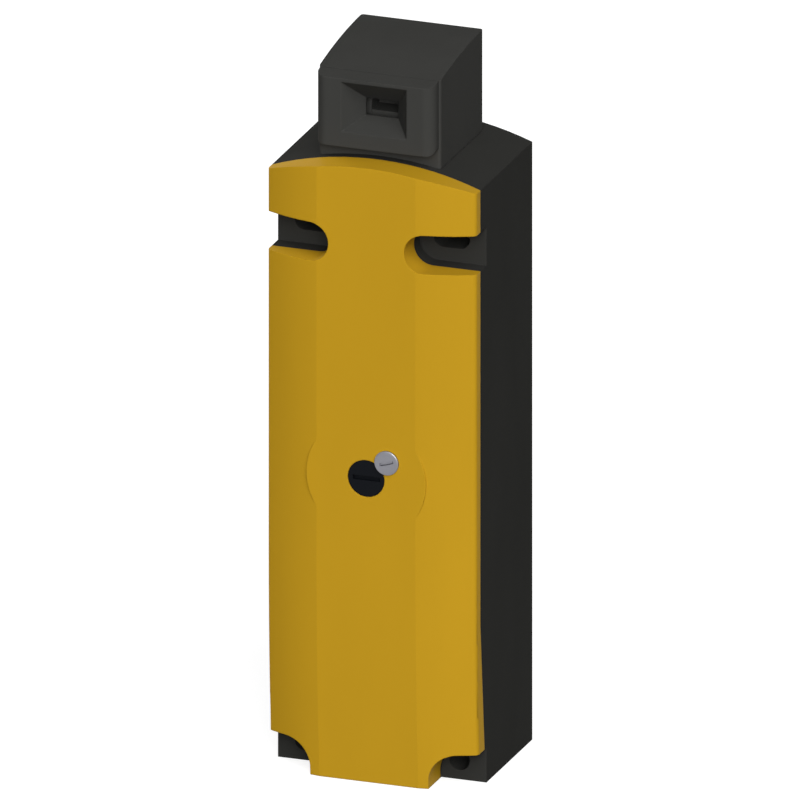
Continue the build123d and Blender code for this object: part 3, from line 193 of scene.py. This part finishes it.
class Graph:
    """Short hand for building one material's nodes."""

    def __init__(self, name):
        self.material = bpy.data.materials.new(name)
        self.material.use_nodes = True
        self.tree = self.material.node_tree
        self.shader = self.tree.nodes["Principled BSDF"]
        self.place = self.tree.nodes.new("ShaderNodeTexCoord").outputs["Object"]

    def add(self, kind, inputs=None, **settings):
        node = self.tree.nodes.new(kind)
        for key, value in settings.items():
            setattr(node, key, value)
        for key, value in (inputs or {}).items():
            self.put(node.inputs[key], value)
        return node

    def put(self, socket, value):
        if isinstance(value, bpy.types.NodeSocket):
            self.tree.links.new(value, socket)
        else:
            socket.default_value = value

    def set(self, name, value):
        self.put(self.shader.inputs[name], value)

    def noise(self, scale, detail=3.0, roughness=0.5, stretch=None):
        place = self.place
        if stretch:
            place = self.add("ShaderNodeMapping", {"Vector": place, "Scale": stretch})
            place = place.outputs["Vector"]
        node = self.add(
            "ShaderNodeTexNoise",
            {"Vector": place, "Scale": scale, "Detail": detail, "Roughness": roughness},
        )
        return node.outputs["Fac"]

    def product(self, first, second, clamp=False):
        node = self.add("ShaderNodeMath", operation="MULTIPLY", use_clamp=clamp)
        self.put(node.inputs[0], first)
        self.put(node.inputs[1], second)
        return node.outputs[0]

    def ramp(self, value, low, high, start=0.0, end=1.0):
        """Value carried over from the range low to high to the range start to end."""
        node = self.add(
            "ShaderNodeMapRange",
            {"Value": value, "From Min": low, "From Max": high, "To Min": start, "To Max": end},
        )
        return node.outputs["Result"]

    def mix(self, share, first, second):
        node = self.add("ShaderNodeMix", data_type="RGBA", blend_type="MIX")
        self.put(node.inputs["Factor"], share)
        self.put(node.inputs[MIX_FIRST], first)
        self.put(node.inputs[MIX_SECOND], second)
        return node.outputs[MIX_RESULT]

    def soft_edges(self, radius):
        """Normals rounded over the edges, and a mask that is 1 along them."""
        bevel = self.add("ShaderNodeBevel", {"Radius": radius * MM}, samples=BEVEL_SAMPLES)
        flat = self.add("ShaderNodeNewGeometry").outputs["Normal"]
        dot = self.add("ShaderNodeVectorMath", operation="DOT_PRODUCT")
        self.put(dot.inputs[0], bevel.outputs["Normal"])
        self.put(dot.inputs[1], flat)
        edge = self.ramp(dot.outputs["Value"], 1.0, EDGE_COSINE)
        return bevel.outputs["Normal"], edge

    def bump(self, height, strength, distance, normal):
        node = self.add(
            "ShaderNodeBump",
            {"Strength": strength, "Distance": distance * MM, "Height": height, "Normal": normal},
        )
        self.set("Normal", node.outputs["Normal"])


def plastic(name, colour, roughness, grain, depth, edge, mottle=0.06, radius=0.35, gloss=0.35):
    """Moulded plastic: spark-eroded grain, faint flow marks, and edges lighter as partly wear,
    partly painted highlight.
    """
    graph = Graph(name)
    normal, rim = graph.soft_edges(radius)
    flow = graph.ramp(graph.noise(**FLOW_MARKS), 0.3, 0.7)
    tone = graph.mix(flow, scaled(colour, 1 - mottle), scaled(colour, 1 + mottle))
    speck = graph.noise(grain * SPECK_SHARE, detail=2.0)
    # Speckled lighter edges: partly wear, partly painted highlight
    edge_wear_and_highlight = graph.product(rim, graph.ramp(speck, 0.35, 0.7, 0.35, 1.0))
    tone = graph.mix(graph.product(edge_wear_and_highlight, edge, True), tone, scaled(colour, EDGE_WEAR_AND_HIGHLIGHT_LIGHTER))
    graph.set("Base Color", tone)
    fine = graph.noise(grain, roughness=0.6)
    smoother = roughness - PLASTIC_SPREAD
    rougher = roughness + PLASTIC_SPREAD
    graph.set("Roughness", graph.ramp(fine, 0.25, 0.75, smoother, rougher))
    graph.set("IOR", PLASTIC_IOR)
    graph.set("Specular IOR Level", gloss)
    graph.bump(fine, GRAIN_BUMP, depth, normal)
    return graph.material


def metal(name, colour, roughness, stretch, radius=0.12):
    """Rolled, drawn or turned metal: directional scratches and a painted highlight along the
    edges.
    """
    graph = Graph(name)
    normal, rim = graph.soft_edges(radius)
    lines = graph.noise(SCRATCHES, detail=4.0, roughness=0.7, stretch=stretch)
    stain = graph.ramp(graph.noise(STAINS), 0.3, 0.7)
    tone = graph.mix(stain, scaled(colour, STAIN_DARKER), scaled(colour, STAIN_LIGHTER))
    # Painted highlight along the edges
    edge_highlight = graph.product(rim, METAL_EDGE_HIGHLIGHT_SHARE, True)
    tone = graph.mix(edge_highlight, tone, scaled(colour, METAL_EDGE_HIGHLIGHT_LIGHTER))
    graph.set("Base Color", tone)
    graph.set("Metallic", 1.0)
    smoother = roughness - METAL_SMOOTHER
    rougher = roughness + METAL_ROUGHER
    graph.set("Roughness", graph.ramp(lines, 0.2, 0.8, smoother, rougher))
    graph.bump(lines, SCRATCH_BUMP, SCRATCH_DEPTH, normal)
    return graph.material


def winding(name, colour):
    """Layer of enamelled wire: fine turns around the coil's axis, darker between them as painted
    shade.
    """
    graph = Graph(name)
    wave = graph.add(
        "ShaderNodeTexWave",
        {"Vector": graph.place, **WIRE_BANDS},
        wave_type="BANDS",
        bands_direction="X",
        wave_profile="SIN",
    ).outputs["Fac"]
    # Painted shade in the grooves between the turns
    tone = graph.mix(graph.ramp(wave, 0.0, 0.6), scaled(colour, SHADE_BETWEEN_TURNS), colour)
    graph.set("Base Color", tone)
    graph.set("Metallic", ENAMEL_METALLIC)
    graph.set("Roughness", graph.ramp(graph.noise(scale=300.0), 0.3, 0.7, 0.28, 0.42))
    graph.set("Coat Weight", ENAMEL_COAT)
    flat = graph.add("ShaderNodeNewGeometry").outputs["Normal"]
    graph.bump(wave, strength=0.8, distance=0.12, normal=flat)
    return graph.material


def rubber(name, colour):
    """Moulded rubber with a little dust on it."""
    graph = Graph(name)
    normal, _ = graph.soft_edges(RUBBER_EDGE)
    dust = graph.noise(scale=160.0, detail=5.0, roughness=0.65)
    tone = graph.mix(graph.ramp(dust, 0.45, 0.75), colour, scaled(colour, DUST_LIGHTER))
    graph.set("Base Color", tone)
    graph.set("Roughness", graph.ramp(dust, 0.2, 0.8, 0.7, 0.9))
    graph.bump(graph.noise(scale=2200.0), strength=0.3, distance=0.04, normal=normal)
    return graph.material


# Facts of the plastics, and the ways that the metals' scratches run
MATT = {"roughness": 0.62, "grain": 2600.0, "depth": 0.05, "edge": 0.2, "gloss": 0.001}
KNOB = {"roughness": 0.45, "grain": 2400.0, "depth": 0.03, "edge": 0.5, "radius": 0.2}
COVER = {"roughness": 0.5, "grain": 2600.0, "depth": 0.04, "edge": 0.1}
DRUM = {"roughness": 0.5, "grain": 1900.0, "depth": 0.05, "edge": 0.2, "radius": 0.2}
DARK = {"roughness": 0.55, "grain": 1900.0, "depth": 0.06, "edge": 0.3}
SMOOTH = {"roughness": 0.38, "grain": 1500.0, "depth": 0.02, "edge": 0.1}
BLOCK = {"roughness": 0.5, "grain": 2100.0, "depth": 0.05, "edge": 0.1}
CHASSIS = {"roughness": 0.5, "grain": 2000.0, "depth": 0.05, "edge": 0.2}
CARRIER = {"roughness": 0.42, "grain": 1800.0, "depth": 0.03, "edge": 0.2}
TURNED = (1.0, 1.0, 1.0)
ROLLED = (0.15, 1.0, 1.0)
DRAWN = (1.0, 1.0, 0.2)

# Maker, 8-bit screen colour and facts of each finish
finishes = {
    "black_plastic": (plastic, (61, 61, 59), MATT),
    # Darker copy of the black plastic for the enclosure: partly its own tone, partly painted shade
    "case_plastic": (plastic, (51, 51, 49), MATT),
    "knob_plastic": (plastic, (14, 16, 20), {**KNOB, "mottle": 0.05, "gloss": 0.06}),
    "yellow_plastic": (plastic, (187, 145, 31), {**COVER, "mottle": 0.025, "gloss": 0.03}),
    # Nylon lighter than the dark nylon so the drum shows inside the shaded throat: painted light
    "drum_nylon": (plastic, (58, 58, 56), {**DRUM, "gloss": 0.1}),
    "dark_nylon": (plastic, (46, 46, 48), DARK),
    "white_nylon": (plastic, (222, 219, 208), SMOOTH),
    "white_moulding": (plastic, (214, 211, 201), BLOCK),
    "grey_moulding": (plastic, (112, 116, 121), CHASSIS),
    "red_moulding": (plastic, (168, 42, 34), CARRIER),
    "rubber": (rubber, (38, 38, 40), {}),
    "steel_screw": (metal, (130, 130, 136), {"roughness": 0.36, "stretch": TURNED}),
    "steel": (metal, (168, 168, 166), {"roughness": 0.34, "stretch": ROLLED}),
    "spring_steel": (metal, (156, 156, 158), {"roughness": 0.3, "stretch": DRAWN}),
    "brass": (metal, (208, 172, 98), {"roughness": 0.3, "stretch": ROLLED}),
    "copper": (winding, (196, 108, 62), {}),
}
materials = {
    name: maker(name, srgb(*colour), **facts) for name, (maker, colour, facts) in finishes.items()
}
# Finishes of single parts: the knob in its own colour, the enclosure with painted shade, the drum
# with painted light
own_finish_and_painted_light = {"enclosure": "case_plastic", "release_knob": "knob_plastic", "drum": "drum_nylon"}
for name, node in nodes.items():
    node.data.materials.clear()
    node.data.materials.append(materials[own_finish_and_painted_light.get(name, slot_of[name])])


# Pieces made here
def piece(name, mesh_maker, body, slot, replaced=(), finish=None):
    """New mesh object from a bmesh maker in millimetres, riding on a body if one is named."""
    mesh = bpy.data.meshes.new(name)
    shape = bmesh.new()
    mesh_maker(shape)
    bmesh.ops.recalc_face_normals(shape, faces=shape.faces)
    bmesh.ops.scale(shape, vec=(MM, MM, MM), verts=shape.verts)
    shape.to_mesh(mesh)
    shape.free()
    mesh.shade_smooth()
    mesh.set_sharp_from_angle(angle=math.radians(SHARP_ANGLE))
    item = bpy.data.objects.new(name, mesh)
    bpy.context.scene.collection.objects.link(item)
    mesh.materials.append(materials[finish or slot])
    if body:
        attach(item, body)
    if replaced:
        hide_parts(*replaced)
    return item


def axis_and_sides(direction):
    """Unit vector along a direction, and two unit vectors square to it."""
    axis = Vector(direction).normalized()
    side = axis.orthogonal().normalized()
    return axis, side, axis.cross(side)


def bridge(shape, first, second):
    """Faces between two closed rings of the same size, or from a ring to a point."""
    count = max(len(first), len(second))
    for step in range(count):
        after = (step + 1) % count
        corners = [first[step % len(first)], first[after % len(first)]]
        corners += [second[after % len(second)], second[step % len(second)]]
        shape.faces.new(list(dict.fromkeys(corners)))


def slot_reach(angle, length, width):
    """Distance from the middle to the edge of a straight slot of half length and half width."""
    turn = angle % math.pi
    off = min(turn, math.pi - turn)
    return min(length / max(math.cos(off), TINY), width / max(math.sin(off), TINY))


def cross_reach(angle, length, width):
    """The same for a cross recess with four arms."""
    turn = angle % (math.pi / 2)
    off = min(turn, math.pi / 2 - turn)
    return min(length / math.cos(off), width / max(math.sin(off), TINY))


def screw(shape, top, direction, length, size, reach, twist):
    """Screw with a domed head, a driver recess and a rolled thread with a pointed start."""
    head_radius, head_height, thread_radius = size
    axis, side, other = axis_and_sides(direction)
    pitch = thread_radius / TURNS_PER_RADIUS
    dome = head_height * DOME_SHARE
    recess = head_height * RECESS_SHARE
    arm = head_radius * DRIVER_LENGTH_SHARE
    width = head_radius * DRIVER_WIDTH_SHARE

    def ring(radius_at, distance_at):
        verts = []
        for step in range(SCREW_SIDES):
            angle = 2 * math.pi * step / SCREW_SIDES
            radius = radius_at(angle)
            out = side * math.cos(angle + twist) + other * math.sin(angle + twist)
            verts.append(shape.verts.new(Vector(top) + axis * distance_at(angle) + out * radius))
        return verts

    def recess_edge(angle):
        return reach(angle, arm, width)

    def domed(share):
        return dome * share**2

    rings = [[shape.verts.new(Vector(top) + axis * recess)]]
    rings.append(ring(lambda a: RECESS_FLOOR_SHARE * recess_edge(a), lambda a: recess))
    rings.append(ring(recess_edge, lambda a: domed(recess_edge(a) / head_radius)))
    for share in DOME_RINGS:
        rings.append(ring(lambda a: share * head_radius, lambda a: domed(share)))
    rings.append(ring(lambda a: head_radius, lambda a: dome + head_height * BRIM_SHARE))
    rings.append(ring(lambda a: head_radius, lambda a: head_height * UNDERSIDE_SHARE))
    rings.append(ring(lambda a: head_radius * UNDERSIDE_RADIUS_SHARE, lambda a: head_height))
    rings.append(ring(lambda a: thread_radius * NECK_SHARE, lambda a: head_height))
    slices = int((length - head_height) / pitch * SLICES_PER_TURN) - SLICES_PER_TURN
    for index in range(slices):
        distance = head_height + pitch * (index + 1) / SLICES_PER_TURN
        fade = min(1.0, (slices - index) / FADING_SLICES)

        def crest(angle):
            phase = (distance / pitch - angle / (2 * math.pi)) % 1
            ridge = 1 - abs(2 * phase - 1)
            return thread_radius * (ROOT_SHARE + RIDGE_SHARE * ridge * fade)

        rings.append(ring(crest, lambda a: distance))
    rings.append([shape.verts.new(Vector(top) + axis * length)])
    for first, second in zip(rings, rings[1:]):
        bridge(shape, first, second)


def tube_along(shape, middles, outwards, radius):
    """Round wire through points, with a vector that points away from the coil's axis at each."""
    rings = []
    for index, (middle, out) in enumerate(zip(middles, outwards)):
        before = middles[max(index - 1, 0)]
        after = middles[min(index + 1, len(middles) - 1)]
        across = (after - before).normalized().cross(out)
        ring = []
        for step in range(WIRE_SIDES):
            angle = 2 * math.pi * step / WIRE_SIDES
            offset = out * math.cos(angle) + across * math.sin(angle)
            ring.append(shape.verts.new(middle + offset * radius))
        rings.append(ring)
    for first, second in zip(rings, rings[1:]):
        bridge(shape, first, second)
    shape.faces.new(rings[0])
    shape.faces.new(rings[-1])


def coil(shape, low, high, direction, wire, turns):
    """Compression spring that fills a box, with its end turns closed."""
    axis, side, other = axis_and_sides(direction)
    middle = (Vector(low) + Vector(high)) / 2
    size = Vector(high) - Vector(low)
    length = abs(size.dot(axis))
    radius = min(abs(size.dot(side)), abs(size.dot(other))) / 2 - wire * WIRE_INSET
    base = middle - axis * length / 2
    climb = (length - wire - 2 * CLOSED_TURNS * wire) / (turns - 2 * CLOSED_TURNS)
    middles = []
    outwards = []
    for step in range(int(turns * COIL_STEPS) + 1):
        turn = step / COIL_STEPS
        ends = min(turn, CLOSED_TURNS) + max(0.0, turn - turns + CLOSED_TURNS)
        height = wire / 2 + wire * ends + climb * (turn - ends)
        angle = 2 * math.pi * turn
        out = side * math.cos(angle) + other * math.sin(angle)
        middles.append(base + axis * height + out * radius)
        outwards.append(out)
    tube_along(shape, middles, outwards, wire / 2)


def loose_boxes(name):
    """Lowest and highest corner, in millimetres, of each loose part of a CAD node."""
    shape = bmesh.new()
    shape.from_mesh(nodes[name].data)
    bmesh.ops.remove_doubles(shape, verts=shape.verts, dist=SAME_PLACE)
    seen = set()
    boxes = []
    for start in shape.verts:
        if start in seen:
            continue
        seen.add(start)
        group = [start]
        for vert in group:
            for edge in vert.link_edges:
                other = edge.other_vert(vert)
                if other not in seen:
                    seen.add(other)
                    group.append(other)
        places = [vert.co / MM for vert in group]
        low = Vector([min(place[axis] for place in places) for axis in range(3)])
        high = Vector([max(place[axis] for place in places) for axis in range(3)])
        boxes.append((low, high))
    shape.free()
    return boxes


def fasteners(name, direction, size, reach=cross_reach):
    """Detailed screws in the places of a CAD node's plain ones."""
    axis = Vector(direction)

    def build(shape):
        for index, (low, high) in enumerate(loose_boxes(name)):
            length = abs((high - low).dot(axis))
            top = (low + high) / 2 - axis * length / 2
            screw(shape, top, axis, length, size, reach, FIRST_TWIST + index * NEXT_TWIST)

    piece(name + "_threaded", build, "root", slot_of[name], (name,))


def spring(name, direction, wire, turns):
    """Round-wire spring in the place of a CAD spring."""
    [(low, high)] = loose_boxes(name)

    def build(shape):
        coil(shape, low, high, direction, wire, turns)

    item = piece(name + "_coil", build, None, slot_of[name], (name,))
    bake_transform(item)


def thread_inside(shape):
    """Helical thread ridge in the cable entry."""
    inner = ENTRY_RADIUS - RIDGE_HEIGHT
    profile = (
        (ENTRY_RADIUS, -RIDGE_FOOT),
        (inner, -RIDGE_CREST),
        (inner, RIDGE_CREST),
        (ENTRY_RADIUS, RIDGE_FOOT),
    )
    turns = (ENTRY_HEIGHT - ENTRY_PITCH) / ENTRY_PITCH
    rings = []
    for step in range(int(turns * ENTRY_STEPS) + 1):
        angle = 2 * math.pi * step / ENTRY_STEPS
        height = ENTRY_PITCH * (0.5 + step / ENTRY_STEPS)
        out = Vector((math.cos(angle), math.sin(angle), 0))
        ring = []
        for radius, rise in profile:
            ring.append(shape.verts.new(out * radius + Vector((0, ENTRY_Y, height + rise))))
        rings.append(ring)
    for first, second in zip(rings, rings[1:]):
        bridge(shape, first, second)
    shape.faces.new(rings[0])
    shape.faces.new(rings[-1])


piece("entry_thread", thread_inside, "root", "black_plastic", finish="case_plastic")

fasteners("seal_screw", INTO_BACK, SEAL_SCREW, slot_reach)
fasteners("head_screws", UPWARDS, CASE_SCREW)
fasteners("chassis_screws", INTO_BACK, CASE_SCREW)
fasteners("block_screws", INTO_BACK, CASE_SCREW)
fasteners("solenoid_screws", INTO_FRONT, CASE_SCREW)
fasteners("keeper_screws", INTO_BACK, KEEPER_SCREW, slot_reach)
fasteners("terminal_screws_a", INTO_BACK, TERMINAL_SCREW)
fasteners("terminal_screws_b", INTO_BACK, TERMINAL_SCREW)

# Springs, with wire diameter and turns
spring("slide_spring", UPWARDS, 0.8, 5.5)
spring("carrier_spring_a", UPWARDS, 0.6, 4.5)
spring("carrier_spring_b", UPWARDS, 0.6, 4.5)
spring("link_spring", RIGHTWARDS, 0.5, 6.5)
spring("armature_spring", RIGHTWARDS, 0.5, 6.5)

# Camera, set as in the photograph
azimuth = math.radians(CAMERA_AZIMUTH)
elevation = math.radians(CAMERA_ELEVATION)
right = Vector((math.cos(azimuth), math.sin(azimuth), 0))
towards = Vector(
    (
        math.sin(azimuth) * math.cos(elevation),
        -math.cos(azimuth) * math.cos(elevation),
        math.sin(elevation),
    )
)
up = towards.cross(right)
target = (right * VIEW_RIGHT + up * VIEW_UP + towards * VIEW_TOWARDS) * MM
camera_data = bpy.data.cameras.new("camera")
camera_data.type = "ORTHO"
camera_data.ortho_scale = VIEW_SIZE
camera = bpy.data.objects.new("camera", camera_data)
turned = Matrix((right, up, towards)).transposed().to_4x4()
camera.matrix_world = Matrix.Translation(target + towards * CAMERA_DISTANCE) @ turned
bpy.context.scene.collection.objects.link(camera)
bpy.context.scene.camera = camera

# Floor, backdrop and lights
floor_mesh = bpy.data.meshes.new("floor")
corner_signs = ((-1, -1), (1, -1), (1, 1), (-1, 1))
floor_corners = [(x * FLOOR_REACH, y * FLOOR_REACH, -FLOOR_GAP) for x, y in corner_signs]
floor_mesh.from_pydata(floor_corners, [], [(0, 1, 2, 3)])
floor = bpy.data.objects.new("floor", floor_mesh)
bpy.context.scene.collection.objects.link(floor)


def seen_directly(tree):
    """Output that is 1 where a camera, mirror or glass ray looks, and 0 for light that bounces."""
    rays = tree.nodes.new("ShaderNodeLightPath")
    total = rays.outputs["Is Camera Ray"]
    for name in ("Is Glossy Ray", "Is Transmission Ray"):
        either = tree.nodes.new("ShaderNodeMath")
        either.operation = "MAXIMUM"
        tree.links.new(total, either.inputs[0])
        tree.links.new(rays.outputs[name], either.inputs[1])
        total = either.outputs[0]
    return total


paper = Graph("paper")
seen = seen_directly(paper.tree)
paper.set("Base Color", paper.mix(seen, FLOOR_BOUNCED, FLOOR_SEEN))
paper.set("Roughness", FLOOR_ROUGHNESS)
paper.set("Specular IOR Level", 0.0)
paper.set("Emission Color", WHITE)
paper.set("Emission Strength", paper.ramp(seen, 0.0, 1.0, 0.0, FLOOR_GLOW))
floor_mesh.materials.append(paper.material)

world = bpy.data.worlds.new("studio")
world.use_nodes = True
sky = world.node_tree.nodes["Background"]
sky.inputs["Color"].default_value = WHITE
level = world.node_tree.nodes.new("ShaderNodeMapRange")
level.inputs["To Min"].default_value = SKY_BOUNCED
level.inputs["To Max"].default_value = SKY_SEEN
world.node_tree.links.new(seen_directly(world.node_tree), level.inputs["Value"])
world.node_tree.links.new(level.outputs["Result"], sky.inputs["Strength"])
bpy.context.scene.world = world


def sun(name, direction, strength, spread):
    """Distant lamp that stands in a direction from the part, with its spread in degrees."""
    data = bpy.data.lights.new(name, "SUN")
    data.energy = strength
    data.angle = math.radians(spread)
    lamp = bpy.data.objects.new(name, data)
    lamp.rotation_euler = Vector(direction).to_track_quat("Z", "Y").to_euler()
    bpy.context.scene.collection.objects.link(lamp)


sun("key", (0.42, -0.66, 0.6), 2.5, 60.0)
sun("fill", (0.3, -0.89, 0.34), 1.3, 25.0)
sun("back", (-0.85, 0.52, 0.1), 3.0, 25.0)

bpy.context.scene.view_settings.view_transform = "Standard"
